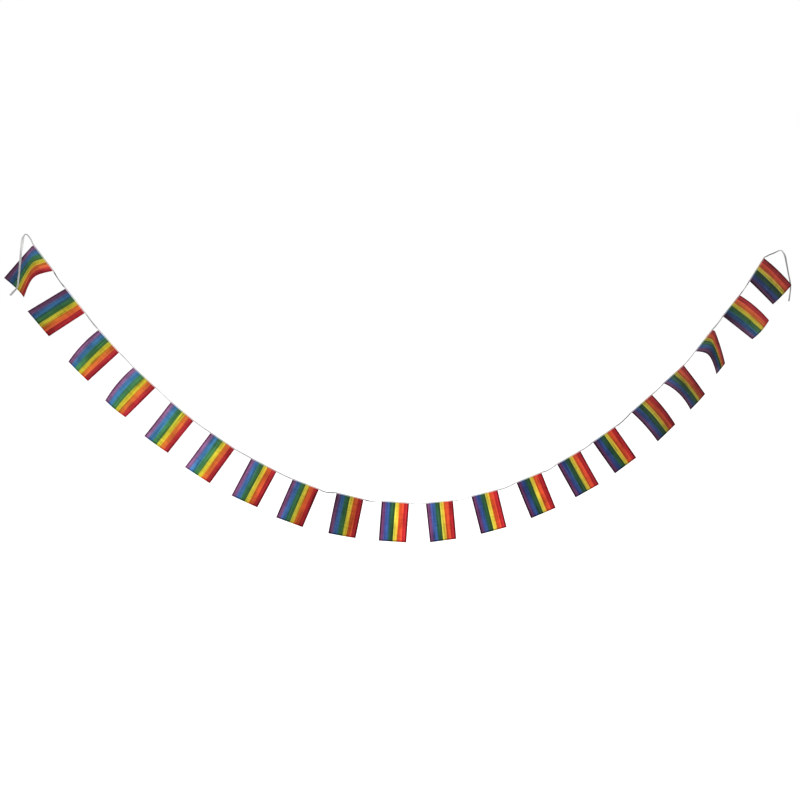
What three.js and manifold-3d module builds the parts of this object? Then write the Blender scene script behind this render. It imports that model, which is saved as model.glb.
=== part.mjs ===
// A garland of rainbow flags on a white folded tape, hung by its two ends.
// Lengths are in millimetres and angles in degrees. X runs along the span, Z is up,
// and the viewer stands on the -Y side. The origin is where the left end hangs.

import * as THREE from 'three';
import { mergeVertices } from 'three/addons/utils/BufferGeometryUtils.js';
import Module from 'manifold-3d';

// One flag: a striped cloth with narrow hems, its top edge sewn into the tape's fold.
const FLAG = {
  width: 150,
  drop: 220,
  thick: 1,
  colour: 0xe8622c,
  roughness: 0.75,
  columns: 6,
  rows: 10,
};

// The binding: a ribbon folded in two over the flags' top edges, open and flat at its ends.
const TAPE = {
  fold: 7,
  leaf: 1,
  slip: 0.3,
  shutThick: 2.4,
  endMargin: 4,
  colour: 0xf4f4f2,
  roughness: 0.8,
  gapSteps: [0.12, 0.31, 0.5, 0.69, 0.88],
};
const SLOT_THICK = FLAG.thick + 2 * TAPE.slip;
const SEWN_THICK = SLOT_THICK + 2 * TAPE.leaf;
const TUCK = TAPE.fold - TAPE.leaf - TAPE.slip;

// The catenary along which the flags' coloured top edges lie: its scale and lowest point.
const CURVE = { scale: 1617, lowX: 2023, lowZ: -1447 };
const FIRST_FLAG_ARC = -2457;

// The place in front of the garland that its folds face.
const FRONT = new THREE.Vector3(1386, -4202, -420);

// Cloth leaves the tape flat, and a lengthwise fold grows to its full depth by this share
// of the flag's drop.
const FOLD_GROWTH = 0.35;

// One row for each flag, from left to right.
// gap: tape between this flag and the one before it. twist: the tape's turn in that gap.
// droop: how far the tape hangs through there. lift: height off the catenary. tilt: turn
// off the catenary's slope.
// leanV: how far the violet side would slide along the tape, towards the red side, if it
// went on as it leaves the tape. endV: how far its outer corner does slide. outV: how far
// that corner swings towards the viewer. leanR, endR, outR: the same for the red side.
// fold: share of the spare width that a lengthwise fold takes up, towards the viewer, or
// away if negative. skew: how far the cloth turns edge-on near the red side. pinch: the
// same in the middle, where the fold goes both ways. bow: how far the outer hem's middle
// stands out from its corners.
const FLAGS = table(
  [
    'gap', 'twist', 'droop', 'lift', 'tilt', 'leanV', 'endV', 'outV', 'leanR', 'endR',
    'outR', 'fold', 'skew', 'pinch', 'bow',
  ],
  [
    [0, 0, 0, 4, 1.5, -80, 46, -9, -88, 19, -34, -0.9, 0.35, 0, -6],
    [110, 50, 4, 2, -0.5, -18, -18, -5, -11, -13, -20, 0, 0, 0, 0],
    [112, 20, 1, -2, 0, -10, 26, 10, 9, 7, -20, -1, 0, 0, 0],
    [107, 35, -3, -1, 1.5, -21, 17, 15, -3, -5, -15, 1, 0, 0, 2],
    [112, 15, 0, -2, -0.5, 14, 14, 20, 7, 9, -20, 0, 0, 0, 0],
    [112, 25, -1, -2, -0.5, -4, -4, 17, -2, -2, 9, 0, 0, 0, 0],
    [105, 10, -2, -1, -0.5, 4, 4, 15, 4, 4, -13, 0, 0, 0, 0],
    [100, 20, 0, -5, -1, -7, -5, 20, -4, -4, 15, 0, 0, 0, 0],
    [102, 60, 11, -1, -1.5, 9, 11, 22, 14, 14, -11, 0, 0, 0, 0],
    [105, 55, 6, 0, -1, 5, 7, -3, 8, 8, -4, 0, 0, 0, 0],
    [98, 10, 3, -3, 0.5, 8, 8, 0, 6, 6, -11, 0, 0, 0, 0],
    [111, 15, 7, 2, -0.5, 11, 9, 2, 7, 9, -5, 0, 0, 0, 0],
    [120, 25, 4, 5, -1, 7, 9, 5, 10, 10, -2, 0, 0, 0, 0],
    [106, 45, 6, 6, -0.5, 6, 6, 3, 5, 7, 6, 0, 0, 0, 0],
    [92, 30, 3, 6, -1.5, 10, 10, 9, 12, 12, -3, 0, 0, 0, 0],
    [132, 20, 4, 8, -1, 36, 4, 35, 26, -2, 10, 1, 0, 0, 0],
    [99, 35, 3, -1, -4.5, 94, 18, 15, 0, 0, -20, -1, 0, 0, 0],
    [109, 25, -1, -2, 1.5, 130, -11, -37, 125, -86, -28, -1, 0.3, 0.45, 0],
    [102, 15, 3, -3, -2, 14, 10, 5, 39, -7, 30, 1, 0, 0, 7],
    [100, 50, 0, -3, 1.5, -31, -17, -40, -8, -40, 20, 0, 0, 0, 0],
  ],
);

// Most flags bend evenly over their whole drop. The first and the eighteenth bend at a
// crease that opens like a cone from a top corner. violet, red: the share of the drop where
// each side bends. soft: the bend's length, as a part of that share.
const EVEN_BEND = { violet: 0.5, red: 0.5, soft: 4 };
const CREASES = new Map([
  [1, { violet: 0.03, red: 0.43, soft: 0.38 }],
  [18, { violet: 0.33, red: 0.05, soft: 0.5 }],
]);

// The tape's free ends, from their tips to the flags. x, y, z: the middle of the tape.
// wide and thick: its section there. turn: 0 with the wide side upright and facing the
// viewer, 90 with it lying flat, as over the point that it hangs from.
const LEFT_END = table(
  ['x', 'y', 'z', 'wide', 'thick', 'turn'],
  [
    [-87, -9, -308, 10, 1.2, 15],
    [-69, -11, -289, 9, 1.2, 20],
    [-55, -10, -272, 9, 1.2, 30],
    [-47, -8, -252, 9, 1.2, 35],
    [-42, -7, -222, 10, 1.2, 30],
    [-38, -6, -190, 11, 1.2, 25],
    [-33, -6, -155, 11, 1.2, 20],
    [-29, -5, -120, 12, 1.2, 12],
    [-25, -4, -85, 13, 1.2, 5],
    [-20, -3, -55, 14, 1.2, 10],
    [-17, -1, -32, 14, 1.2, 30],
    [-13, 0, -14, 13, 1.2, 65],
    [-7, 0, -4, 12, 1.3, 88],
    [0, 0, 0, 11, 1.4, 90],
    [8, 0, -4, 9, 1.7, 85],
    [15, 0, -13, 8, 2.2, 60],
    [24, 0, -27, 7, 2.8, 25],
  ],
);
const RIGHT_END = table(
  ['x', 'y', 'z', 'wide', 'thick', 'turn'],
  [
    [4015, 0, -71, 7, 2.8, 10],
    [4028, 0, -64, 7, 2.4, 30],
    [4050, 0, -56, 8, 2, 60],
    [4074, 0, -45, 9, 1.6, 85],
    [4093, 0, -38, 10, 1.4, 90],
    [4107, 1, -42, 11, 1.3, 88],
    [4119, 2, -54, 11, 1.2, 70],
    [4128, 3, -72, 11, 1.2, 60],
    [4138, 5, -105, 11, 1.2, 50],
    [4148, 7, -140, 10, 1.2, 45],
    [4158, 9, -175, 10, 1.2, 45],
    [4169, 10, -208, 10, 1.2, 50],
    [4175, 10, -232, 10, 1.2, 50],
    [4176, 9, -256, 10, 1.2, 55],
    [4173, 7, -284, 10, 1.2, 50],
    [4169, 5, -310, 9, 1.2, 45],
    [4166, 4, -326, 9, 1.2, 40],
  ],
);

const TOWARDS_VIEWER = new THREE.Vector3(0, -1, 0);

function table(names, rows) {
  return rows.map((row) => Object.fromEntries(names.map((name, column) => [name, row[column]])));
}

function smooth(t) {
  const clamped = THREE.MathUtils.clamp(t, 0, 1);
  return clamped * clamped * (3 - 2 * clamped);
}

function along(point, ...steps) {
  const moved = point.clone();
  for (const [direction, distance] of steps) {
    moved.addScaledVector(direction, distance);
  }
  return moved;
}

// Each flag's place: a frame at the middle of its coloured top edge, with X along the tape
// and the flag on its -Z side. Flags follow one another along the catenary's arc.
function flagPlaces() {
  let arc = FIRST_FLAG_ARC;
  return FLAGS.map((row, index) => {
    arc += index > 0 ? FLAG.width + row.gap : 0;
    const x = CURVE.scale * Math.asinh(arc / CURVE.scale);
    const z = CURVE.scale * (Math.cosh(x / CURVE.scale) - 1);
    const slope = Math.atan(arc / CURVE.scale);
    const offCurve = new THREE.Vector3(-Math.sin(slope), 0, Math.cos(slope));
    const place = new THREE.Object3D();
    place.position.copy(along(new THREE.Vector3(CURVE.lowX + x, 0, CURVE.lowZ + z), [offCurve, row.lift]));
    place.rotation.y = -slope - THREE.MathUtils.degToRad(row.tilt);
    place.updateMatrix();
    return place;
  });
}

function inPlace(place, x, z) {
  return new THREE.Vector3(x, 0, z).applyMatrix4(place.matrix);
}

// One thread of a flag that runs from the tape to the outer hem, at a share of the drop:
// how far it has slid along the tape, how far it is from the tape, and how far it has swung
// to the viewer. It leaves the tape at its lean and turns at its knee, as one arm of a
// hyperbola does. The swing grows with the square of the share, and the distance is what is
// left of the thread's own length.
function threadLine({ lean, end, out, knee, soft }, share) {
  const width = soft * knee;
  const start = Math.hypot(knee, width);
  const steady = knee / start;
  const whole = Math.hypot(1 - knee, width) - start + steady;
  const past = share - knee;
  const reach = Math.hypot(past, width);
  const bent = (reach - start + steady * share) / whole;
  const squares = (from, radius) => (
    from * (1 + steady ** 2) + 2 * steady * radius - width * Math.atan(from / width));
  const turn = end - lean;
  const used = lean ** 2 * share
    + 2 * lean * turn * bent
    + turn ** 2 * (squares(past, reach) - squares(-knee, start)) / whole ** 2
    + (4 / 3) * out ** 2 * share ** 3;
  return {
    slide: lean * share + turn * bent,
    away: FLAG.drop * share - used / (2 * FLAG.drop),
    swing: out * share ** 2,
  };
}

// The middle surface of one flag in its own frame. across runs 0 to 1 from violet to red,
// and down is the distance from the tape's lower edge along the cloth, below zero inside
// the fold. front is FRONT in the same frame.
function flagSurface(row, crease, front) {
  return (across, down) => {
    const share = Math.max(down, 0) / FLAG.drop;
    const grown = smooth(share / FOLD_GROWTH);
    const thread = (side) => threadLine({
      lean: THREE.MathUtils.lerp(row.leanV, row.leanR, side),
      end: THREE.MathUtils.lerp(row.endV, row.endR, side),
      out: THREE.MathUtils.lerp(row.outV, row.outR, side),
      knee: THREE.MathUtils.lerp(crease.violet, crease.red, side),
      soft: crease.soft,
    }, share);
    const violet = thread(0);
    const red = thread(1);
    const span = Math.hypot(
      FLAG.width + red.slide - violet.slide,
      red.away - violet.away,
      red.swing - violet.swing,
    );
    const kept = Math.min(span / FLAG.width, 1);
    const waves = row.pinch > 0 ? 2 : 1;
    const depth = row.fold * (2 / Math.PI / waves) * FLAG.width * Math.sqrt(kept * (1 - kept)) * grown;
    const eased = across
      + row.skew * share * across * (1 - across)
      + row.pinch * grown * Math.sin(2 * Math.PI * across) / (2 * Math.PI);
    const { slide, away, swing } = thread(eased);
    const drop = away + Math.min(down, 0) + row.bow * share * Math.sin(Math.PI * across);
    const flat = new THREE.Vector3((eased - 0.5) * FLAG.width + slide, -swing, -drop);
    const frontward = front.clone().sub(flat).normalize();
    return along(flat, [frontward, depth * Math.sin(Math.PI * waves * across)]);
  };
}

// A closed sheet: the middle surface moved half its thickness each way along its normal,
// with a rim. acrosses and downs are the grid's lines.
function sheetGeometry(surface, acrosses, downs, thick) {
  const nudge = 0.01;
  const front = [];
  const back = [];
  for (const down of downs) {
    for (const across of acrosses) {
      const centre = surface(across, down);
      const sideways = surface(across + nudge, down).sub(surface(across - nudge, down));
      const downwards = surface(across, down + 1).sub(surface(across, down - (down > 0 ? 1 : 0)));
      const normal = down > 0 ? downwards.cross(sideways).normalize() : TOWARDS_VIEWER;
      front.push(along(centre, [normal, thick / 2]));
      back.push(along(centre, [normal, -thick / 2]));
    }
  }
  const count = acrosses.length;
  const total = front.length;
  const index = [];
  const quad = (a, b, c, d) => index.push(a, b, c, a, c, d);
  for (let r = 0; r < downs.length - 1; r++) {
    for (let c = 0; c < count - 1; c++) {
      const a = r * count + c;
      quad(a, a + count, a + count + 1, a + 1);
      quad(total + a, total + a + 1, total + a + count + 1, total + a + count);
    }
  }
  const rim = [];
  for (let c = 0; c < count - 1; c++) rim.push(c);
  for (let r = 0; r < downs.length - 1; r++) rim.push(r * count + count - 1);
  for (let c = count - 1; c > 0; c--) rim.push((downs.length - 1) * count + c);
  for (let r = downs.length - 1; r > 0; r--) rim.push(r * count);
  rim.forEach((from, position) => {
    const to = rim[(position + 1) % rim.length];
    quad(from, to, total + to, total + from);
  });
  return geometryFrom([...front, ...back], index);
}

function geometryFrom(points, index) {
  const geometry = new THREE.BufferGeometry();
  geometry.setFromPoints(points);
  geometry.setIndex(index);
  return geometry;
}

function flagGeometry(place, row, crease) {
  const acrosses = Array.from({ length: FLAG.columns + 1 }, (_, c) => c / FLAG.columns);
  const downs = Array.from({ length: FLAG.rows + 1 }, (_, r) => (r / FLAG.rows) * FLAG.drop);
  const front = FRONT.clone().applyMatrix4(place.matrix.clone().invert());
  return sheetGeometry(flagSurface(row, crease, front), acrosses, [-TUCK, ...downs], FLAG.thick);
}

// Stations of the tape between two flags: a smooth bridge from one straight top edge to
// the next, shut to a thin ribbon that droops and twists most in the middle.
function gapStations(from, to, { twist, droop }) {
  const corner = FLAG.width / 2 + TAPE.endMargin;
  const start = inPlace(from, corner, TAPE.fold / 2);
  const stop = inPlace(to, -corner, TAPE.fold / 2);
  const reach = start.distanceTo(stop) / 3;
  const bridge = new THREE.CubicBezierCurve3(
    start,
    inPlace(from, corner + reach, TAPE.fold / 2 - droop),
    inPlace(to, -corner - reach, TAPE.fold / 2 - droop),
    stop,
  );
  return TAPE.gapSteps.map((share) => ({
    point: bridge.getPoint(share),
    wide: TAPE.fold,
    thick: TAPE.shutThick,
    turn: twist * Math.sin(Math.PI * share),
  }));
}

function tapeStations(places) {
  const endStations = (rows) => rows.map(({ x, y, z, wide, thick, turn }) => (
    { point: new THREE.Vector3(x, y, z), wide, thick, turn }));
  const stations = endStations(LEFT_END);
  places.forEach((place, index) => {
    if (index > 0) {
      stations.push(...gapStations(places[index - 1], place, FLAGS[index]));
    }
    for (const side of [-1, 1]) {
      const point = inPlace(place, side * (FLAG.width / 2 + TAPE.endMargin), TAPE.fold / 2);
      stations.push({ point, wide: TAPE.fold, thick: SEWN_THICK, turn: 0 });
    }
  });
  stations.push(...endStations(RIGHT_END));
  return stations;
}

// A ribbon of rectangular section carried along its stations, closed at both ends.
function ribbonGeometry(stations) {
  const points = [];
  stations.forEach((station, position) => {
    const before = stations[Math.max(position - 1, 0)].point;
    const after = stations[Math.min(position + 1, stations.length - 1)].point;
    const forward = after.clone().sub(before).normalize();
    const upright = TOWARDS_VIEWER.clone().cross(forward).normalize();
    const facing = forward.clone().cross(upright).normalize();
    const angle = THREE.MathUtils.degToRad(station.turn);
    const widthway = along(new THREE.Vector3(), [upright, Math.cos(angle)], [facing, Math.sin(angle)]);
    const depthway = along(new THREE.Vector3(), [facing, Math.cos(angle)], [upright, -Math.sin(angle)]);
    for (const [up, out] of [[-1, -1], [1, -1], [1, 1], [-1, 1]]) {
      points.push(along(
        station.point,
        [widthway, up * station.wide / 2],
        [depthway, out * station.thick / 2],
      ));
    }
  });
  const corners = 4;
  const index = [];
  for (let s = 0; s < stations.length - 1; s++) {
    for (let c = 0; c < corners; c++) {
      const a = s * corners + c;
      const b = s * corners + ((c + 1) % corners);
      index.push(a, b, b + corners, a, b + corners, a + corners);
    }
  }
  const last = (stations.length - 1) * corners;
  index.push(0, 2, 1, 0, 3, 2);
  index.push(last, last + 1, last + 2, last, last + 2, last + 3);
  return geometryFrom(points, index);
}

// The space inside the fold that takes one flag's top edge.
function slotGeometry(place) {
  const below = 2;
  const length = FLAG.width + 4 * TAPE.slip;
  const depth = TAPE.fold - TAPE.leaf + below;
  const geometry = new THREE.BoxGeometry(length, SLOT_THICK, depth);
  geometry.translate(0, 0, depth / 2 - below);
  geometry.applyMatrix4(place.matrix);
  return geometry;
}

const wasm = await Module();
wasm.setup();

function toSolid(geometry) {
  const bare = geometry.clone();
  bare.deleteAttribute('normal');
  bare.deleteAttribute('uv');
  const merged = mergeVertices(bare);
  return new wasm.Manifold(new wasm.Mesh({
    numProp: 3,
    vertProperties: new Float32Array(merged.attributes.position.array),
    triVerts: new Uint32Array(merged.index.array),
  }));
}

function fromSolid(solid) {
  const mesh = solid.getMesh();
  const geometry = new THREE.BufferGeometry();
  geometry.setAttribute('position', new THREE.BufferAttribute(new Float32Array(mesh.vertProperties), 3));
  geometry.setIndex(new THREE.BufferAttribute(new Uint32Array(mesh.triVerts), 1));
  return geometry;
}

function tapeGeometry(places) {
  let solid = toSolid(ribbonGeometry(tapeStations(places)));
  for (const place of places) {
    solid = solid.subtract(toSolid(slotGeometry(place)));
  }
  return fromSolid(solid);
}

function namedMesh(name, geometry, colour, roughness) {
  geometry.computeVertexNormals();
  const material = new THREE.MeshStandardMaterial({ color: colour, roughness, metalness: 0 });
  const mesh = new THREE.Mesh(geometry, material);
  mesh.name = name;
  return mesh;
}

const group = new THREE.Group();
const places = flagPlaces();
group.add(namedMesh('tape', tapeGeometry(places), TAPE.colour, TAPE.roughness));
places.forEach((place, index) => {
  const name = `flag_${String(index + 1).padStart(2, '0')}`;
  const geometry = flagGeometry(place, FLAGS[index], CREASES.get(index + 1) ?? EVEN_BEND);
  const flag = namedMesh(name, geometry, FLAG.colour, FLAG.roughness);
  flag.position.copy(place.position);
  flag.rotation.copy(place.rotation);
  group.add(flag);
});

export default group;
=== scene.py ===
import math

import bpy
import numpy as np
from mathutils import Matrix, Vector


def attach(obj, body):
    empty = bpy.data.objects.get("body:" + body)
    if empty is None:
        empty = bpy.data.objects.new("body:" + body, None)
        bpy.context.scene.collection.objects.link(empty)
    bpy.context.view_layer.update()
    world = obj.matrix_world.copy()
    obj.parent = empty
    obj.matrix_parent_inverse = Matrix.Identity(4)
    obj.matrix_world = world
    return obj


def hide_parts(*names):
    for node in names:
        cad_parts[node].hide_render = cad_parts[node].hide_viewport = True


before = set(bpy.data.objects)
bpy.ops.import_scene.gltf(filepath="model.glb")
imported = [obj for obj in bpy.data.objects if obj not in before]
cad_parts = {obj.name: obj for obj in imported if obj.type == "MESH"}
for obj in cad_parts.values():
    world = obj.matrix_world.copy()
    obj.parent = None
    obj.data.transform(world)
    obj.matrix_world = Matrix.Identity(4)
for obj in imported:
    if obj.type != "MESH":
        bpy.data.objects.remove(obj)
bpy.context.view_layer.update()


# The camera stands in front of the garland's left third, a little turned to the right and
# a little tipped down, with a normal lens. The garland's ends are nearly level with it.
CAMERA_PLACE = (1.386, -4.202, -0.420)
CAMERA_YAW = 7.07
CAMERA_PITCH = -6.04
LENS = 35.0
SENSOR = 36.0

camera_data = bpy.data.cameras.new("camera")
camera_data.lens = LENS
camera_data.sensor_width = SENSOR
camera = bpy.data.objects.new("camera", camera_data)
camera.location = CAMERA_PLACE
camera.rotation_euler = (math.radians(90 + CAMERA_PITCH), 0, math.radians(-CAMERA_YAW))
bpy.context.scene.collection.objects.link(camera)
bpy.context.scene.camera = camera


# The flags: rectangles of thin woven polyester, printed through in six stripes that run
# down from the tape. Each has its sides and its outer edge turned over twice and sewn, and
# its raw top edge is inside the tape. Each hangs in its own folds.
MM = 0.001
FLAG_WIDTH = 150 * MM
FLAG_DROP = 220 * MM
FLAG_TUCK = 5.7 * MM
CLOTH_THICK = 0.3 * MM
HEM_WIDTH = 6.5 * MM
HEM_THICK = 0.9 * MM
HEM_SLOPE = 0.5 * MM
HEM_ROLL = 2 * MM
CLOTH_CELL = 3 * MM
FRONT = np.array(CAMERA_PLACE)
CURVE_SCALE = 1617 * MM
CURVE_LOW = (2023 * MM, -1447 * MM)
FIRST_FLAG_ARC = -2457 * MM
FOLD_GROWTH = 0.35

# One row for each flag, from left to right, in millimetres and degrees. gap: tape before
# the flag. twist, droop: the tape's turn and hang in that gap. lift, tilt: off the
# catenary. leanV, endV, outV: the violet side's slide along the tape as it leaves the tape
# and at its corner, and the corner's swing to the viewer. leanR, endR, outR: the red side's.
# fold: share of the spare width in a lengthwise fold. skew, pinch: cloth turned edge-on
# near red, or in the middle. bow: how far the outer hem's middle stands out. crumple: depth
# of the small folds. Many places and slides were first fitted to the photo by another
# program, then rounded, and some were changed by hand.
FLAG_COLUMNS = (
    "gap", "twist", "droop", "lift", "tilt", "leanV", "endV", "outV", "leanR", "endR",
    "outR", "fold", "skew", "pinch", "bow", "crumple",
)
FLAG_ROWS = (
    (0, 0, 0, 4, 1.5, -80, 46, -9, -88, 19, -34, -0.9, 0.35, 0, -6, 1.0),
    (110, 50, 4, 2, -0.5, -18, -18, -5, -11, -13, -20, 0, 0, 0, 0, 1.0),
    (112, 20, 1, -2, 0, -10, 26, 10, 9, 7, -20, -1, 0, 0, 0, 1.0),
    (107, 35, -3, -1, 1.5, -21, 17, 15, -3, -5, -15, 1, 0, 0, 2, 1.0),
    (112, 15, 0, -2, -0.5, 14, 14, 20, 7, 9, -20, 0, 0, 0, 0, 1.0),
    (112, 25, -1, -2, -0.5, -4, -4, 17, -2, -2, 9, 0, 0, 0, 0, 1.0),
    (105, 10, -2, -1, -0.5, 4, 4, 15, 4, 4, -13, 0, 0, 0, 0, 1.0),
    (100, 20, 0, -5, -1, -7, -5, 20, -4, -4, 15, 0, 0, 0, 0, 1.0),
    (102, 25, 8, -1, -1.5, 9, 11, 22, 14, 14, -11, 0, 0, 0, 0, 1.0),
    (105, 20, 6, 0, -1, 5, 7, -3, 8, 8, -4, 0, 0, 0, 0, 0.7),
    (98, 10, 3, -3, 0.5, 8, 8, 0, 6, 6, -11, 0, 0, 0, 0, 0.7),
    (111, 15, 7, 2, -0.5, 11, 9, 2, 7, 9, -5, 0, 0, 0, 0, 0.7),
    (120, 25, 4, 5, -1, 7, 9, 5, 10, 10, -2, 0, 0, 0, 0, 0.7),
    (106, 45, 6, 6, -0.5, 6, 6, 3, 5, 7, 6, 0, 0, 0, 0, 0.8),
    (92, 30, 3, 6, -1.5, 10, 10, 9, 12, 12, -3, 0, 0, 0, 0, 0.9),
    (132, 20, 4, 8, -1, 36, 4, 35, 26, -2, 10, 1, 0, 0, 0, 1.0),
    (99, 35, 3, -1, -4.5, 94, 18, 15, 0, 0, -20, -1, 0, 0, 0, 1.0),
    (109, 25, -1, -2, 1.5, 130, -11, -37, 125, -86, -28, -1, 0.3, 0.45, 0, 1.0),
    (102, 15, 3, -3, -2, 14, 10, 5, 39, -7, 30, 1, 0, 0, 7, 1.0),
    (100, 50, 0, -3, 1.5, -31, -17, -40, -8, -40, 20, 0, 0, 0, 0, 1.0),
)

# How each flag and the tape at it look, from left to right. fade: how far its colours are
# those of faded cloth. The next column: how much even grey is mixed over its print. violet,
# red: how light its dye is by the tape at its two sides, and violet_low, red_low: the same
# by its outer edge; these four tones are partly dye and partly painted light and shade.
# band: how light the tape is along the flag. gap_first, gap_last: how light it is where the
# gap before the flag starts and ends. These three are painted shade where the tape turns
# from the light, and dust. The first six columns were fitted to samples of the photo by
# another program and rounded, so they also hold some of the photo's own light.
LOOK_COLUMNS = (
    "fade", "dust", "violet", "red", "violet_low", "red_low", "band", "gap_first", "gap_last",
)
LOOK_ROWS = (
    (0.8, 0.02, 0.44, 0.82, 0.28, 0.52, 0.5, 0.0, 0.0),
    (0.8, 0.0, 0.25, 0.87, 0.35, 0.47, 0.78, 0.15, 0.15),
    (1.0, 0.0, 0.54, 0.62, 0.65, 0.73, 0.72, 0.35, 0.35),
    (1.0, 0.0, 0.81, 0.65, 0.68, 0.82, 0.66, 0.5, 0.5),
    (1.0, 0.0, 0.7, 0.76, 0.83, 0.78, 0.66, 0.62, 0.62),
    (0.9, 0.0, 0.67, 0.75, 1.1, 0.65, 0.5, 0.52, 0.52),
    (0.5, 0.0, 0.73, 0.87, 0.84, 0.42, 0.5, 0.49, 0.49),
    (0.4, 0.0, 0.58, 0.52, 0.77, 0.46, 0.6, 0.4, 0.4),
    (0.4, 0.0, 0.35, 0.5, 0.58, 0.52, 0.55, 0.3, 0.1),
    (0.0, 0.0, 0.75, 0.96, 0.9, 1.06, 0.88, -0.1, 1.1),
    (0.1, 0.0, 0.87, 0.81, 0.83, 0.75, 0.95, 0.82, 0.82),
    (0.0, 0.0, 0.63, 0.95, 0.55, 0.87, 0.88, 0.85, 0.7),
    (0.0, 0.0, 0.42, 0.84, 0.6, 0.8, 0.7, 0.41, 0.41),
    (0.0, 0.01, 0.38, 0.64, 0.55, 0.82, 0.64, 0.2, 0.42),
    (0.0, 0.01, 0.34, 0.7, 0.39, 0.74, 0.58, 0.4, 0.4),
    (0.1, 0.05, 0.37, 0.52, 0.35, 0.46, 0.52, 0.2, 0.2),
    (0.3, 0.08, 0.46, 0.42, 0.42, 0.28, 0.45, 0.34, 0.34),
    (0.4, 0.08, 0.4, 0.53, 0.52, 0.32, 0.52, 0.5, 0.55),
    (0.6, 0.05, 0.08, 0.66, 0.4, 0.75, 0.36, 0.25, 0.6),
    (0.0, 0.08, 0.2, 0.54, 0.37, 0.42, 0.38, 0.12, 0.15),
)
FLAGS = [
    dict(zip(FLAG_COLUMNS + LOOK_COLUMNS, row + look)) for row, look in zip(FLAG_ROWS, LOOK_ROWS)
]

# Most flags bend evenly over their whole drop. The first and the eighteenth bend at a
# crease that opens like a cone from a top corner: the share of the drop where the violet
# side bends, the same for the red side, and the bend's length as a part of that share.
EVEN_BEND = (0.5, 0.5, 4)
CREASES = {1: (0.03, 0.43, 0.38), 18: (0.33, 0.05, 0.5)}


def smooth(t):
    """A step from 0 to 1 that starts and ends level: 3 t squared minus 2 t cubed."""
    t = np.clip(t, 0, 1)
    return t * t * (3 - 2 * t)


def unit(vectors):
    """Each vector divided by its own length."""
    return vectors / np.linalg.norm(vectors, axis=-1, keepdims=True)


def flag_places():
    """Each flag's place: the middle of its coloured top edge, the way along the tape and the
    way off the tape. The middles follow one another along a catenary's arc, where x is the
    scale times arsinh(arc / scale), z is the scale times (cosh(x / scale) - 1) and the slope
    is arctan(arc / scale)."""
    places = []
    arc = FIRST_FLAG_ARC
    for number, row in enumerate(FLAGS):
        arc += (FLAG_WIDTH + row["gap"] * MM) if number else 0
        x = CURVE_SCALE * math.asinh(arc / CURVE_SCALE)
        z = CURVE_SCALE * (math.cosh(x / CURVE_SCALE) - 1)
        slope = math.atan(arc / CURVE_SCALE)
        angle = slope + math.radians(row["tilt"])
        off_curve = np.array((-math.sin(slope), 0, math.cos(slope)))
        middle = np.array((CURVE_LOW[0] + x, 0, CURVE_LOW[1] + z)) + off_curve * row["lift"] * MM
        tapeway = np.array((math.cos(angle), 0, math.sin(angle)))
        outward = np.array((math.sin(angle), 0, -math.cos(angle)))
        places.append((middle, tapeway, outward))
    return places


def thread_line(lean, end, out, knee, soft, share):
    """A flag's threads from the tape to the outer hem, at a share of the drop: the slide
    along the tape, the distance from the tape and the swing to the viewer. The slide is
    lean * share + (end - lean) * bent, and bent is a hyperbola's arm, r - r(0) + q * share
    over its value at 1, with r the root of (share - knee) squared plus width squared. The
    swing grows with the square, and the distance is what is left of the thread's length."""
    width = soft * knee
    start = np.hypot(knee, width)
    steady = knee / start
    whole = np.hypot(1 - knee, width) - start + steady
    past = share - knee
    reach = np.hypot(past, width)
    bent = (reach - start + steady * share) / whole
    first = -knee * (1 + steady**2) + 2 * steady * start + width * np.arctan(knee / width)
    squares = past * (1 + steady**2) + 2 * steady * reach - width * np.arctan(past / width) - first
    turn = end - lean
    used = lean**2 * share + 2 * lean * turn * bent + turn**2 * squares / whole**2
    used = used + 4 / 3 * out**2 * share**3
    away = FLAG_DROP * share - used / (2 * FLAG_DROP)
    return lean * share + turn * bent, away, out * share**2


# The long soft waves of crumpled cloth: their height in millimetres, how many lie across the
# flag, the power of spread by which they draw apart or together, and their lean in radians.
LONG_WAVES = (
    (0.9, 2.2, -1, 0.8),
    (0.5, 4.3, 1, -1.3),
    (0.3, 6.7, 0, 2.2 * math.pi),
)

# The heights in millimetres of the waves across the flag, the pulls from its top corners,
# the puckers along the tape and those along the hems, and the length of the last.
CROSS_HEIGHT = 0.45
PULL_HEIGHT = 0.6
SEAM_PUCKER = 0.35
HEM_PUCKER = 0.25
HEM_PUCKER_LENGTH = 9 * MM


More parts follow.
